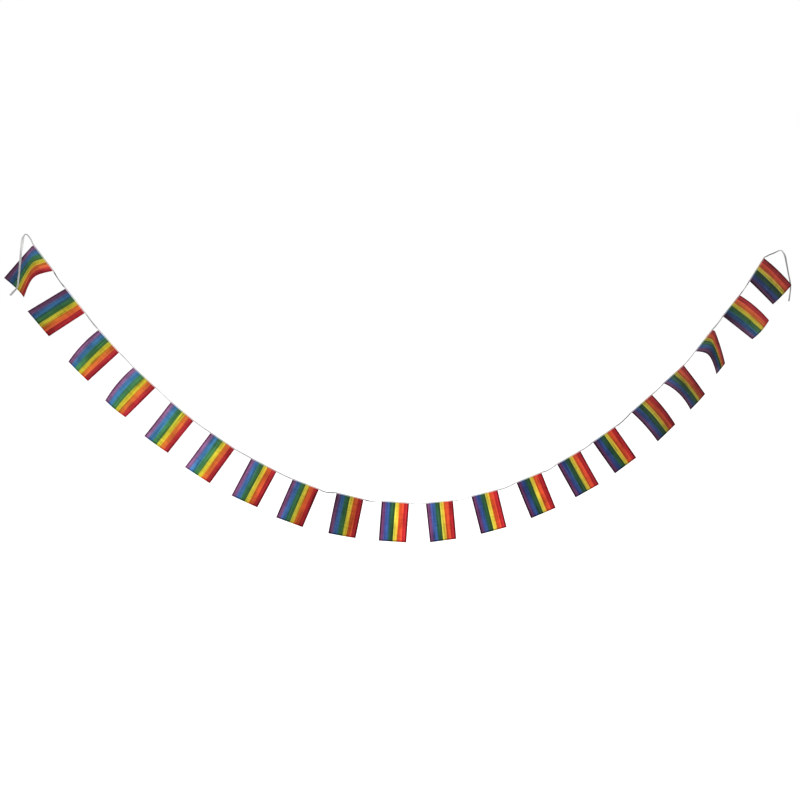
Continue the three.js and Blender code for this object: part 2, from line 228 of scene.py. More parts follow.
def flag_crumple(number, across, down):
    """Small folds of one flag, as a height towards the viewer. Long soft waves run down the
    cloth and spread a little, two slanting pulls leave the top corners, and short puckers
    sit along the tape's seam and along the hems. Each is a sine of its own phase."""
    chance = np.random.default_rng(100 + number)
    share = np.clip(down / FLAG_DROP, 0, 1)
    phase = chance.uniform(0, 2 * math.pi, 8)
    strength = chance.uniform(0.6, 1.4, 5)
    turn = 2 * math.pi
    spread = 1 - 0.12 * share
    waves = sum(
        height * force * np.sin(turn * count * across * spread**power + start + lean * share)
        for (height, count, power, lean), force, start in zip(LONG_WAVES, strength, phase)
    )
    waves = waves * smooth(share / 0.5)
    cross = CROSS_HEIGHT * strength[3] * np.sin(turn * (1.7 * share + 0.5 * across) + phase[3])
    cross = cross * smooth(share * 3)
    slant = np.abs(across - 0.5) - 0.55 * share
    pull = PULL_HEIGHT * strength[4] * np.sin(turn * 3.1 * slant + phase[4])
    pull = pull * smooth(share / 0.12) * (1 - smooth((share - 0.1) / 0.5))
    wander = phase[5] + 2 * np.sin(7 * across + phase[6])
    gather = SEAM_PUCKER * np.sin(turn * 9 * across + wander)
    gather = gather * smooth(share / 0.03) * (1 - smooth(share / 0.16))
    edge = np.minimum(np.minimum(across, 1 - across) * FLAG_WIDTH, FLAG_DROP - down)
    along = (down + across * FLAG_WIDTH) / HEM_PUCKER_LENGTH
    hem = HEM_PUCKER * np.sin(turn * along + phase[7] + 3 * share)
    hem = hem * (1 - smooth(edge / HEM_WIDTH / 2.2)) * smooth(share / 0.1)
    return (waves + cross + pull + gather + hem) * MM * FLAGS[number]["crumple"]


def flag_surface(number, place, across, down):
    """The middle surface of one flag, for across from 0 at violet to 1 at red and down from
    the tape's lower edge. Each thread's numbers are blended from those of the two sides,
    spare width goes into a lengthwise sine fold towards the viewer's place, and small
    folds lie on it."""
    row = FLAGS[number]
    middle, tapeway, outward = place
    share = np.maximum(down, 0) / FLAG_DROP
    grown = smooth(share / FOLD_GROWTH)
    knee_violet, knee_red, soft = CREASES.get(number + 1, EVEN_BEND)

    def threads(side):
        lean = (row["leanV"] + (row["leanR"] - row["leanV"]) * side) * MM
        end = (row["endV"] + (row["endR"] - row["endV"]) * side) * MM
        out = (row["outV"] + (row["outR"] - row["outV"]) * side) * MM
        knee = knee_violet + (knee_red - knee_violet) * side
        return thread_line(lean, end, out, knee, soft, share)

    violet = threads(0)
    red = threads(1)
    wide, fall, swing = (far - near for far, near in zip(red, violet))
    span = np.sqrt((FLAG_WIDTH + wide) ** 2 + fall**2 + swing**2)
    kept = np.minimum(span / FLAG_WIDTH, 1)
    turns = 2 if row["pinch"] > 0 else 1
    depth = row["fold"] * (2 / math.pi / turns) * FLAG_WIDTH * np.sqrt(kept * (1 - kept)) * grown
    eased = (
        across
        + row["skew"] * share * across * (1 - across)
        + row["pinch"] * grown * np.sin(2 * math.pi * across) / (2 * math.pi)
    )
    slide, away, swing = threads(eased)
    away = away + np.minimum(down, 0) + row["bow"] * MM * share * np.sin(math.pi * across)
    flat = (
        middle
        + tapeway * ((eased - 0.5) * FLAG_WIDTH + slide)[..., None]
        + outward * away[..., None]
        + np.array((0, -1, 0)) * swing[..., None]
    )
    height = depth * np.sin(math.pi * turns * across) + flag_crumple(number, across, down)
    return flat + unit(FRONT - flat) * height[..., None]


def cloth_mesh(name, centre, thick, cut, loose=None):
    """A closed sheet around a grid of points: each is moved half the thickness both ways
    along the surface's normal, the cross product of the grid's two differences, and a rim
    joins the two sides. cut gives each point's place on the flat cloth, kept as a UV map."""
    rows, columns = centre.shape[:2]
    normal = unit(np.cross(np.gradient(centre, axis=0), np.gradient(centre, axis=1)))
    half = normal * (thick / 2)[..., None]
    points = np.concatenate([(centre + half).reshape(-1, 3), (centre - half).reshape(-1, 3)])
    total = rows * columns
    corner = (np.arange(rows - 1)[:, None] * columns + np.arange(columns - 1)).ravel()
    front = np.stack([corner, corner + columns, corner + columns + 1, corner + 1], axis=1)
    back = front[:, ::-1] + total
    top = np.arange(columns)
    right = np.arange(1, rows) * columns + columns - 1
    bottom = (rows - 1) * columns + np.arange(columns - 2, -1, -1)
    left = np.arange(rows - 2, 0, -1) * columns
    rim = np.concatenate([top, right, bottom, left])
    after = np.roll(rim, -1)
    side = np.stack([rim, after, after + total, rim + total], axis=1)
    faces = np.concatenate([front, back, side])
    mesh = bpy.data.meshes.new(name)
    mesh.from_pydata(points.tolist(), [], faces.tolist())
    mesh.uv_layers.new(name="cut")
    flat = np.tile(cut.reshape(-1, 2), (2, 1))
    mesh.uv_layers["cut"].data.foreach_set("uv", flat[faces.ravel()].ravel())
    for label, values in (loose or {}).items():
        layer = mesh.attributes.new(label, "FLOAT", "POINT")
        layer.data.foreach_set("value", np.tile(np.broadcast_to(values, (rows, columns)).ravel(), 2))
    mesh.shade_smooth()
    piece = bpy.data.objects.new(name, mesh)
    bpy.context.scene.collection.objects.link(piece)
    return piece


def flag_lines():
    """The grid's lines on a flag: even cells, with lines close together where the hems
    start. The hems' rolled edges stand a little past the flat size."""
    step = HEM_SLOPE
    rim = np.array((-HEM_ROLL, 0.4 * HEM_WIDTH, HEM_WIDTH - step, HEM_WIDTH, HEM_WIDTH + step))
    cells = round((FLAG_WIDTH - 2 * rim[-1]) / CLOTH_CELL)
    inside = np.linspace(rim[-1], FLAG_WIDTH - rim[-1], cells + 1)[1:-1]
    across = np.concatenate([rim, inside, FLAG_WIDTH - rim[::-1]]) / FLAG_WIDTH
    rows = round((FLAG_DROP - rim[-1]) / CLOTH_CELL)
    body = np.linspace(0, FLAG_DROP - rim[-1], rows + 1)[:-1]
    down = np.concatenate([(-FLAG_TUCK, -FLAG_TUCK / 2), body, FLAG_DROP - rim[::-1]])
    return np.meshgrid(across, down)


class Shade:
    """One output socket of a material. A sum, difference, product or quotient with it adds a
    Math node."""

    def __init__(self, finish, socket):
        self.finish = finish
        self.socket = socket

    def __add__(self, other):
        return self.finish.math("ADD", self, other)

    def __sub__(self, other):
        return self.finish.math("SUBTRACT", self, other)

    def __rsub__(self, other):
        return self.finish.math("SUBTRACT", other, self)

    def __mul__(self, other):
        return self.finish.math("MULTIPLY", self, other)

    def __truediv__(self, other):
        return self.finish.math("DIVIDE", self, other)

    def __rtruediv__(self, other):
        return self.finish.math("DIVIDE", other, self)

    __radd__ = __add__
    __rmul__ = __mul__


class Finish:
    """A material of this garland. node() adds one node and gives one of its outputs."""

    def __init__(self, name, roughness, specular):
        self.material = bpy.data.materials.new(name)
        self.material.use_nodes = True
        self.tree = self.material.node_tree
        self.shader = self.tree.nodes["Principled BSDF"]
        self.shader.inputs["Roughness"].default_value = roughness
        self.shader.inputs["Specular IOR Level"].default_value = specular

    def node(self, kind, settings=None, inputs=None, output=0):
        made = self.tree.nodes.new(kind)
        for setting, value in (settings or {}).items():
            if setting == "stops":
                self.set_stops(made.color_ramp, value)
            else:
                setattr(made, setting, value)
        for socket, value in (inputs or {}).items():
            if isinstance(value, Shade):
                self.tree.links.new(value.socket, made.inputs[socket])
            else:
                made.inputs[socket].default_value = value
        return Shade(self, made.outputs[output])

    def attribute(self, name):
        return self.node("ShaderNodeAttribute", {"attribute_name": name}, {}, 2)

    def math(self, operation, *values):
        return self.node("ShaderNodeMath", {"operation": operation}, dict(enumerate(values)))

    def set_stops(self, ramp, stops):
        while len(ramp.elements) < len(stops):
            ramp.elements.new(1)
        for element, (place, colour) in zip(ramp.elements, stops):
            element.position = place
            element.color = colour

    def step(self, value, low, high):
        """0 below low and 1 above high, with a smooth step between."""
        span = {"Value": value, "From Min": low, "From Max": high}
        return self.node("ShaderNodeMapRange", {"interpolation_type": "SMOOTHSTEP"}, span)

    def noise(self, place, detail, roughness=0.5):
        """A cloudy pattern of about one patch to each unit of place, from -0.5 to 0.5."""
        inputs = {"Vector": place, "Scale": 1.0, "Detail": detail, "Roughness": roughness}
        return self.node("ShaderNodeTexNoise", {}, inputs) - 0.5

    def mix(self, factor, first, second, blend="MIX"):
        settings = {"data_type": "RGBA", "blend_type": blend}
        return self.node("ShaderNodeMix", settings, {0: factor, 6: first, 7: second}, 2)

    def dim(self, colour, factor):
        """A colour times a number."""
        return self.node("ShaderNodeVectorMath", {"operation": "SCALE"}, {0: colour, "Scale": factor})

    def wear(self, socket, value):
        """Gives the shader a value that changes over the surface."""
        self.tree.links.new(value.socket, self.shader.inputs[socket])

    def bump(self, height, distance, strength):
        inputs = {"Height": height, "Distance": distance, "Strength": strength}
        self.wear("Normal", self.node("ShaderNodeBump", {}, inputs))


def colour(text):
    """A colour written as six hexadecimal digits, as linear light with full alpha."""
    levels = np.array([int(text[i : i + 2], 16) for i in (0, 2, 4)]) / 255
    linear = np.where(levels < 0.04045, levels / 12.92, ((levels + 0.055) / 1.055) ** 2.4)
    return (*linear.tolist(), 1.0)


# Each stripe: where it ends over the flag's width, and its colours where it starts, in its
# middle and where it ends, first on strong cloth, then on faded cloth. The colours were
# fitted to the photo by another program, over many flags at once, and then evened out.
STRIPES = (
    ("violet", 0.15, ("7a4063", "804876", "6b447c"), ("9b678c", "9c6e9b", "826ea0")),
    ("blue", 0.32, ("4f579f", "415da2", "375f8e"), ("577eb5", "4884b5", "4383a2")),
    ("green", 0.505, ("2e5e58", "35603e", "354f1f"), ("47896c", "4c8a57", "517c38")),
    ("yellow", 0.653, ("e0e155", "efd342", "fabd43"), ("c1c543", "d8c834", "e8c539")),
    ("orange", 0.83, ("ce551d", "f15833", "f7553e"), ("ce7b28", "dd7234", "ec6f40")),
    ("red", 1, ("c32926", "c52e35", "ae2634"), ("be372e", "bf333b", "b63142")),
)
BLEED = 0.004

# How uneven the dye is, in four kinds of patch: how many lie in a metre across and down the
# cloth, a number that tells the kinds apart, their detail, and how far they change the dye.
PATCHES = {
    "streak": (330, 14, 0.0, 2.0, 0.8),
    "stripe": (110, 7, 2.3, 1.0, 1.5),
    "band": (14, 90, 4.1, 1.0, 0.5),
    "cloud": (16, 12, 6.7, 2.0, 0.8),
}
PRINT_WOBBLE = 0.01

# How far the hems deepen the print, partly from their layers and partly as painted shade, and
# how far the painted shadow under the tape's edge deepens it along the seam; how much darker
# the hems' rims are as painted shade, and strong cloth's hems, partly as painted shade; the
# even grey of the veil; and the weave's pitch and depth of shade.
HEM_DEPTH_AND_SHADE = 0.8
SEAM_SHADOW = 0.45
RIM_SHADE = 0.12
STRONG_HEM_SHADE = 0.4
VEIL_GREY = (0.5, 0.5, 0.5, 1.0)
WEAVE_PITCH = 0.9 * MM
WEAVE_SHADE = 0.05
CLOTH_ROUGHNESS = 0.72
CLOTH_GLOSS = 0.05


def stripe_stops(faded):
    """The ramp's stops: each stripe's three colours, with a short blend where the print of
    one stripe runs into the next."""
    stops = []
    start = 0
    for _, end, *grades in STRIPES:
        first = start + BLEED if start else start
        last = end - BLEED if end < 1 else end
        places = (first, (first + last) / 2, last)
        stops += [(at, colour(text)) for at, text in zip(places, grades[faded])]
        start = end
    return stops


def cloth_weave(finish, u, v, pitch):
    """A plain weave: the product of one sine across the threads and one along them."""
    turn = 2 * math.pi / pitch
    return finish.math("SINE", u * turn) * finish.math("SINE", v * turn)


def flag_cloth():
    """The flags' finish. The print's two ramps are mixed by each flag's fade. In the hems, where
    cloth lies three times, the print is deeper, partly from the layers and partly as painted
    shade, and along the tape's seam it is deeper as a painted shadow under the tape's edge: the
    print times its own root. An even grey veil is mixed over it. Strong cloth's hems are darker
    still, partly from the layers and partly as painted shade, and the hems' rims are darker as
    painted shade. Each flag's tones, partly dye and partly painted light and shade, multiply
    it. Lengthwise streaks of two sizes, cross bands and clouds make the dye uneven."""
    finish = Finish("flag_cloth", CLOTH_ROUGHNESS, CLOTH_GLOSS)
    cut = finish.node("ShaderNodeUVMap", {"uv_map": "cut"})
    seed = finish.attribute("seed")
    u = finish.node("ShaderNodeSeparateXYZ", {}, {0: cut}, 0)
    v = finish.node("ShaderNodeSeparateXYZ", {}, {0: cut}, 1)

    patch = {}
    uneven_dye = 1
    for kind, (across, down, offset, detail, change) in PATCHES.items():
        spot = {0: u * across, 1: v * down, 2: seed * 7 + offset}
        patch[kind] = finish.noise(finish.node("ShaderNodeCombineXYZ", {}, spot), detail)
        uneven_dye = uneven_dye + patch[kind] * change
    place = u / FLAG_WIDTH + patch["cloud"] * PRINT_WOBBLE
    strong = finish.node("ShaderNodeValToRGB", {"stops": stripe_stops(0)}, {0: place})
    faded = finish.node("ShaderNodeValToRGB", {"stops": stripe_stops(1)}, {0: place})
    print_colour = finish.mix(finish.attribute("fade"), strong, faded)
    side = finish.math("MINIMUM", u, FLAG_WIDTH - u)
    edge = finish.math("MINIMUM", side, FLAG_DROP - v)
    # The hems: print deeper, partly from three layers of cloth and partly as painted shade.
    hem = 1 - finish.step(edge, HEM_WIDTH - HEM_SLOPE, HEM_WIDTH + HEM_SLOPE)
    # Along the tape's seam: a painted shadow under the tape's edge.
    seam = 1 - finish.step(v, 1.5 * MM, 5 * MM)
    # The hems' rolled rims: painted shade.
    rim = 1 - finish.step(edge, 0.5 * MM, 4 * MM)
    deep_and_shade = hem * HEM_DEPTH_AND_SHADE + seam * SEAM_SHADOW
    root = finish.node("ShaderNodeGamma", {}, {0: print_colour, 1: 0.5})
    print_colour = finish.mix(deep_and_shade, print_colour, root, "MULTIPLY")
    # An even grey veil mixed over the print, by each flag's amount.
    print_colour = finish.mix(finish.attribute("dust"), print_colour, VEIL_GREY)
    # Strong cloth's hems darker still, partly from their layers and partly as painted shade.
    strong_hem_shade = hem * (1 - finish.attribute("fade"))
    dye = uneven_dye * (1 - rim * RIM_SHADE - strong_hem_shade * STRONG_HEM_SHADE)
    weave = cloth_weave(finish, u, v, WEAVE_PITCH)
    # Times each flag's tones, partly dye and partly painted light and shade.
    dye = dye * (1 + weave * WEAVE_SHADE) * finish.attribute("dye")
    finish.wear("Base Color", finish.dim(print_colour, dye))
    finish.wear("Roughness", CLOTH_ROUGHNESS + patch["streak"] * 0.2)
    relief = weave * 0.4 + patch["streak"] * 0.9 + patch["stripe"] * 0.6
    finish.bump(relief, 0.2 * MM, 0.7)
    return finish.material


def dye_and_shade_at(look, across, down):
    """How light a flag's dye is, with painted light and shade in it: blended across between its
    sides' values by the tape and by the outer edge, and between these two down the flag."""
    share = np.clip(down / FLAG_DROP, 0, 1)
    top = look["violet"] + (look["red"] - look["violet"]) * across
    low = look["violet_low"] + (look["red_low"] - look["violet_low"]) * across
    return top + (low - top) * share


# The sewing: small lockstitches of the flag's own dyed thread, a little lighter than its
# cloth, in a row inside each hem.
STITCH_INSET = 4.8 * MM
STITCH_PITCH = 3.3 * MM
STITCH_LENGTH = 2.5 * MM
STITCH_RADIUS = 0.24 * MM
STITCH_RINGS = (0.2, 0.5, 0.8)
STITCH_SIDES = 4
STITCH_POINTS = 2 + len(STITCH_RINGS) * STITCH_SIDES
THREAD_DYE = 1.8


def thread_mesh(name, heads, tails, outward, cut, values):
    """Short sewn stitches: for each head and tail, a four-sided spindle with pointed ends
    and rings at STITCH_RINGS, as shares of its length. A ring's radius is STITCH_RADIUS times
    the root of sin(pi * share), and it stands off along outward by 0.6 of that."""
    shares = np.array((0, *STITCH_RINGS, 1))
    swell = STITCH_RADIUS * np.sqrt(np.sin(math.pi * shares).clip(0))
    lengthway = unit(tails - heads)
    sideway = unit(np.cross(outward, lengthway))
    centre = heads[:, None] + (tails - heads)[:, None] * shares[:, None]
    centre = centre + outward[:, None] * (swell * 0.6)[:, None]
    corner = np.arange(STITCH_SIDES)
    after = (corner + 1) % STITCH_SIDES
    turn = corner * 2 * math.pi / STITCH_SIDES
    spoke = sideway[:, None] * np.cos(turn)[:, None] + outward[:, None] * np.sin(turn)[:, None]
    rings = centre[:, 1:-1, None] + spoke[:, None] * swell[1:-1, None, None]
    count = len(heads)
    points = np.concatenate([centre[:, :1], rings.reshape(count, -1, 3), centre[:, -1:]], axis=1)
    starts = 1 + np.arange(len(STITCH_RINGS)) * STITCH_SIDES
    tips = np.concatenate(
        [
            np.stack([0 * corner, starts[0] + after, starts[0] + corner], axis=1),
            np.stack([0 * corner - 1 + STITCH_POINTS, starts[-1] + corner, starts[-1] + after], axis=1),
        ]
    )
    tubes = np.concatenate(
        [
            np.stack([near + corner, near + after, far + after, far + corner], axis=1)
            for near, far in zip(starts[:-1], starts[1:])
        ]
    )
    first = np.arange(count)[:, None, None] * STITCH_POINTS
    faces = (tips + first).reshape(-1, 3).tolist() + (tubes + first).reshape(-1, 4).tolist()
    mesh = bpy.data.meshes.new(name)
    mesh.from_pydata(points.reshape(-1, 3).tolist(), [], faces)
    mesh.uv_layers.new(name="cut")
    corners = np.concatenate([np.array(face) for face in faces]) // STITCH_POINTS
    mesh.uv_layers["cut"].data.foreach_set("uv", cut[corners].ravel())
    for label, value in values.items():
        layer = mesh.attributes.new(label, "FLOAT", "POINT")
        layer.data.foreach_set("value", np.repeat(np.broadcast_to(value, count), STITCH_POINTS))
    mesh.shade_smooth()
    piece = bpy.data.objects.new(name, mesh)
    bpy.context.scene.collection.objects.link(piece)
    return piece


def hem_stitches(number, place):
    """The stitches of one flag's hems, on both faces: down its violet side, along its outer
    edge and up its red side, STITCH_INSET from the edge. Each runs STITCH_LENGTH of every
    STITCH_PITCH, and stands on the surface's normal by half the hem's thickness."""
    inset = STITCH_INSET
    run = FLAG_DROP - inset
    wide = FLAG_WIDTH - 2 * inset
    head = np.arange(2 * MM, 2 * run + wide - STITCH_PITCH, STITCH_PITCH)

    def on_cloth(travel):
        down = np.clip(np.minimum(travel, 2 * run + wide - travel), 0, run)
        across = (inset + np.clip(travel - run, 0, wide)) / FLAG_WIDTH
        return across, down

    def surface_at(travel, aside=0.0, below=0.0):
        across, down = on_cloth(travel)
        return flag_surface(number, place, across + aside, down + below)

    middle = head + STITCH_LENGTH / 2
    sideways = surface_at(middle, 0.004) - surface_at(middle, -0.004)
    downwards = surface_at(middle, 0.0, 0.5 * MM) - surface_at(middle, 0.0, -0.5 * MM)
    normal = unit(np.cross(downwards, sideways))
    across, down = on_cloth(middle)
    cut = np.stack([across * FLAG_WIDTH, down], axis=-1)
    look = FLAGS[number]
    # The thread's tones: the flag's dye and painted light and shade, made lighter.
    dye = np.tile(dye_and_shade_at(look, across, down) * THREAD_DYE, 2)
    lift = normal * (HEM_THICK / 2)
    heads = surface_at(head)
    tails = surface_at(head + STITCH_LENGTH)
    return thread_mesh(
        f"flag_{number + 1:02d}_hem_stitches",
        np.concatenate([heads + lift, heads - lift]),
        np.concatenate([tails + lift, tails - lift]),
        np.concatenate([normal, -normal]),
        np.concatenate([cut, cut]),
        {"seed": float(number), "fade": look["fade"], "dust": look["dust"], "dye": dye},
    )


cloth_finish = flag_cloth()
places = flag_places()
across_grid, down_grid = flag_lines()
hem_distance = np.minimum(
    np.minimum(across_grid, 1 - across_grid) * FLAG_WIDTH, FLAG_DROP - down_grid
)
hem_share = 1 - smooth((hem_distance - HEM_WIDTH + HEM_SLOPE) / (2 * HEM_SLOPE))
flag_thick = CLOTH_THICK + (HEM_THICK - CLOTH_THICK) * hem_share * smooth(down_grid / HEM_WIDTH)
flag_cut = np.stack([across_grid * FLAG_WIDTH, down_grid], axis=-1)
for number, place in enumerate(places):
    node = f"flag_{number + 1:02d}"
    look = FLAGS[number]
    # Each flag's tones over its grid, partly dye and partly painted light and shade.
    dye = dye_and_shade_at(look, across_grid, down_grid)
    values = {"seed": float(number), "fade": look["fade"], "dust": look["dust"], "dye": dye}
    centre = flag_surface(number, place, across_grid, down_grid)
    flag = cloth_mesh(f"{node}_cloth", centre, flag_thick, flag_cut, values)
    flag.data.materials.append(cloth_finish)
    sewing = hem_stitches(number, place)
    sewing.data.materials.append(cloth_finish)
    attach(flag, "root")
    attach(sewing, "root")
    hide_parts(node)


# The tape: one white woven ribbon, folded in two over the flags' top edges and sewn
# through. Between flags its two leaves lie shut and turn a little, and past the first and
# the last flag it bends over its hanging point and opens into a free end.
TAPE_LEAF = 7 * MM
TAPE_THICK = 0.35 * MM
TAPE_MARGIN = 4 * MM
TAPE_STEP = 2 * MM
TAPE_COLUMNS = 15
COLUMN_CROWDING = 1.6
FOLD_ROUNDING = 0.1
LEAF_SPACING = 0.75 * (CLOTH_THICK + TAPE_THICK)
SEWN_OPEN = 3.0
GAP_OPEN = 4.0
BACK_UP = 90.0
GAP_SHARES = (0.12, 0.31, 0.5, 0.69, 0.88)
SWAY_LENGTH = 31 * MM
SWAY_ANGLE = 2.0
RIPPLE_LENGTH = 6.3 * MM
RIPPLE_HEIGHT = 0.12 * MM

# The free ends, from tip to flag on the left and from flag to tip on the right, in
# millimetres and degrees. open: how far each leaf stands off the fold's plane, 90 when the
# ribbon is flat. turn: 90 with the fold's back up, 0 with the ribbon's face to the viewer.
# light: how light the ribbon is there, as painted shade where it bends and turns from the
# light, and dust. The columns are x, y, z, open, turn and light.
LEFT_END = (
    (-87, -9, -308, 40, 15, 0.45),
    (-69, -11, -289, 35, 20, 0.45),
    (-55, -10, -272, 26, 30, 0.45),
    (-48, -8, -252, 24, 30, 0.5),
    (-44, -7, -222, 25, 27, 0.52),
    (-39, -6, -190, 27, 25, 0.52),
    (-34, -6, -155, 31, 20, 0.52),
    (-29, -5, -120, 38, 12, 0.53),
    (-25, -4, -85, 45, 5, 0.56),
    (-20, -3, -55, 58, 10, 0.58),
    (-17, -1, -32, 66, 30, 0.6),
    (-13, 0, -14, 60, 65, 0.58),
    (-7, 0, -4, 54, 88, 0.52),
    (0, 0, 0, 46, 90, 0.42),
    (8, 0, -4, 32, 90, 0.4),
    (15, 0, -13, 18, 90, 0.45),
    (24, 0, -27, 9, 90, 0.5),
)
RIGHT_END = (
    (4015, 0, -71, 9, 90, 0.18),
    (4028, 0, -64, 12, 90, 0.16),
    (4050, 0, -56, 18, 90, 0.16),
    (4074, 0, -45, 30, 90, 0.3),
    (4093, 0, -38, 44, 90, 0.55),
    (4107, 1, -42, 44, 88, 0.5),
    (4119, 2, -54, 44, 70, 0.45),
    (4128, 3, -72, 38, 50, 0.42),
    (4138, 5, -105, 32, 34, 0.4),
    (4148, 7, -140, 27, 25, 0.42),
    (4158, 9, -175, 24, 22, 0.44),
    (4168, 10, -208, 24, 22, 0.46),
    (4173, 10, -232, 24, 24, 0.46),
    (4174, 9, -256, 24, 26, 0.48),
    (4171, 7, -284, 25, 25, 0.48),
    (4167, 5, -310, 27, 22, 0.48),
    (4164, 4, -326, 30, 20, 0.48),
)


def tape_stations():
    """The tape's stations as rows of x, y, z, open, turn, lightness, inside and covers. The
    lightness is painted shade where the tape turns from the light, and dust. inside is the
    place over the width of the nearest flag, and covers is 1 where the tape holds it. Gaps are
    cubic Bezier curves that leave each flag along its own edge and droop a little."""
    left = np.array(LEFT_END, float) * (MM, MM, MM, 1, 1, 1)
    right = np.array(RIGHT_END, float) * (MM, MM, MM, 1, 1, 1)
    corner = FLAG_WIDTH / 2 + TAPE_MARGIN
    rows = [(*row, 0.0, 0.0) for row in left]
    for number, (middle, tapeway, outward) in enumerate(places):
        look = FLAGS[number]
        fold_line = middle - outward * TAPE_LEAF / 2
        start = fold_line - tapeway * corner
        if number:
            past_middle, past_way, past_out = places[number - 1]
            leave = past_middle - past_out * TAPE_LEAF / 2 + past_way * corner
            reach = np.linalg.norm(start - leave) / 3
            droop = look["droop"] * MM
            first = leave + past_way * reach + past_out * droop
            second = start - tapeway * reach + outward * droop
            t = np.array(GAP_SHARES)[:, None]
            bridge = (
                leave * (1 - t) ** 3
                + 3 * first * t * (1 - t) ** 2
                + 3 * second * t**2 * (1 - t)
                + start * t**3
            )
            share = t[:, 0]
            turn = BACK_UP + look["twist"] * np.sin(math.pi * share)
            light = np.interp(share, (0, 1), (look["gap_first"], look["gap_last"]))
            nearest = (share < 0.5) * 1.0
            rows += zip(*bridge.T, 0 * share + GAP_OPEN, turn, light, nearest, 0 * share)
        for along in (-corner, -FLAG_WIDTH / 2, FLAG_WIDTH / 2, corner):
            inside = along / FLAG_WIDTH + 0.5
            spot = fold_line + tapeway * along
            rows.append((*spot, SEWN_OPEN, BACK_UP, look["band"], inside, 1.0))
    rows += [(*row, 1.0, 0.0) for row in right]
    return np.array(rows)


def tape_path():
    """The stations joined into one line with a point every TAPE_STEP: a Catmull-Rom cubic
    through x, y, z, and straight blends of the other columns, but for covers, which is 1
    between two stations that a flag covers and 0 elsewhere."""
    stations = tape_stations()
    place = stations[:, :3]
    leg = np.linalg.norm(np.diff(place, axis=0), axis=1)
    arc = np.concatenate([[0], np.cumsum(leg)])
    slope = np.gradient(place, arc, axis=0)
    at = np.linspace(0, arc[-1], round(arc[-1] / TAPE_STEP) + 1)
    left = np.clip(np.searchsorted(arc, at, "right") - 1, 0, len(leg) - 1)
    t = ((at - arc[left]) / leg[left])[:, None]
    size = leg[left][:, None]
    line = (
        place[left] * (1 + 2 * t) * (1 - t) ** 2
        + slope[left] * size * t * (1 - t) ** 2
        + place[left + 1] * t**2 * (3 - 2 * t)
        + slope[left + 1] * size * t**2 * (t - 1)
    )
    opened, turn, light, inside = (np.interp(at, arc, column) for column in stations.T[3:7])
    covers = stations[left, 7] * stations[left + 1, 7]
    return line, at, opened, turn, light, inside, covers


def tape_surface(across):
    """The ribbon's middle surface. across runs -1 to 1 over its width, with the fold at 0.
    Each leaf leaves the fold at the angle open, the fold is rounded by the root of across
    squared plus a small square, and the two leaves stay apart by the cloth between them.
    The leaves sway open and their edges ripple a little, in waves of uneven length."""
    line, arc, opened, turn, light, inside, covers = tape_path()
    forward = unit(np.gradient(line, axis=0))
    upright = unit(np.cross(np.array((0, -1, 0)), forward))
    facing = np.cross(forward, upright)
    turn = np.radians(turn)[:, None]
    wideway = upright * np.cos(turn) + facing * np.sin(turn)
    backway = -(facing * np.cos(turn) - upright * np.sin(turn))
    chance = np.random.default_rng(7)
    drift = np.cumsum(chance.normal(0, 1, (len(arc), 2)), axis=0)
    drift = drift - np.linspace(0, 1, len(arc))[:, None] * drift[-1]
    sway = np.sin(arc / SWAY_LENGTH * 2 * math.pi + 0.35 * drift[:, 0]) * SWAY_ANGLE
    opened = np.radians(opened + np.abs(sway))[:, None]
    soft = np.sqrt(across**2 + FOLD_ROUNDING**2) - FOLD_ROUNDING
    wide = TAPE_LEAF * across * np.sin(opened) + LEAF_SPACING * np.tanh(across / FOLD_ROUNDING)
    back = TAPE_LEAF * np.cos(opened) * (0.5 - soft)
    ripple = np.sin(arc / RIPPLE_LENGTH * 2 * math.pi + 0.5 * drift[:, 1])[:, None]
    wide = wide + RIPPLE_HEIGHT * ripple * across**2
    offset = wideway[:, None, :] * wide[..., None] + backway[:, None, :] * back[..., None]
    return line[:, None, :] + offset, arc, light, inside, covers


# The ribbon's own white, how far the flag's dye shows through its leaves, its ribs, and the
# patches of dust on it: how many lie in a metre across and along the ribbon, a number that
# tells the kinds apart, their detail and roughness, and how far they change the white.
RIBBON_WHITE = colour("f4f4f3")[:3]
SHOW_THROUGH = 0.34
RIB_PITCH = 0.8 * MM
DUST_PATCHES = {"grime": (250, 45, 0.0, 3.0, 0.6, 0.6), "stain": (60, 17, 5.0, 1.0, 0.5, 0.9)}


def tape_cloth():
    """The tape's finish: white ribbon with fine ribs across it. Its white is darker along its
    length as painted shade where it turns from the light, and with dust. The flag's dyed cloth
    shows a little through the thin leaves that cover it, and dust greys the ribbon in patches."""
    finish = Finish("tape", roughness=0.8, specular=0.15)
    cut = finish.node("ShaderNodeUVMap", {"uv_map": "cut"})
    inside = finish.attribute("inside")
    u = finish.node("ShaderNodeSeparateXYZ", {}, {0: cut}, 0)
    v = finish.node("ShaderNodeSeparateXYZ", {}, {0: cut}, 1)
    patch = {}
    evenness = 1
    for kind, (across, along, offset, detail, roughness, change) in DUST_PATCHES.items():
        spot = finish.node("ShaderNodeCombineXYZ", {}, {0: u * across, 1: v * along, 2: offset})
        patch[kind] = finish.noise(spot, detail, roughness)
        evenness = evenness + patch[kind] * change
    under = finish.node("ShaderNodeValToRGB", {"stops": stripe_stops(1)}, {0: inside})
    covered = finish.attribute("covers")
    # The white times its lightness along the tape, painted shade and dust, and the dust patches.
    white = finish.dim(RIBBON_WHITE, finish.attribute("light") * evenness)
    finish.wear("Base Color", finish.mix(covered * SHOW_THROUGH, white, under))
    ribs = finish.math("SINE", v * (2 * math.pi / RIB_PITCH))
    finish.bump(ribs * 0.4 + patch["grime"] * 1.2, 0.1 * MM, 0.6)
    return finish.material


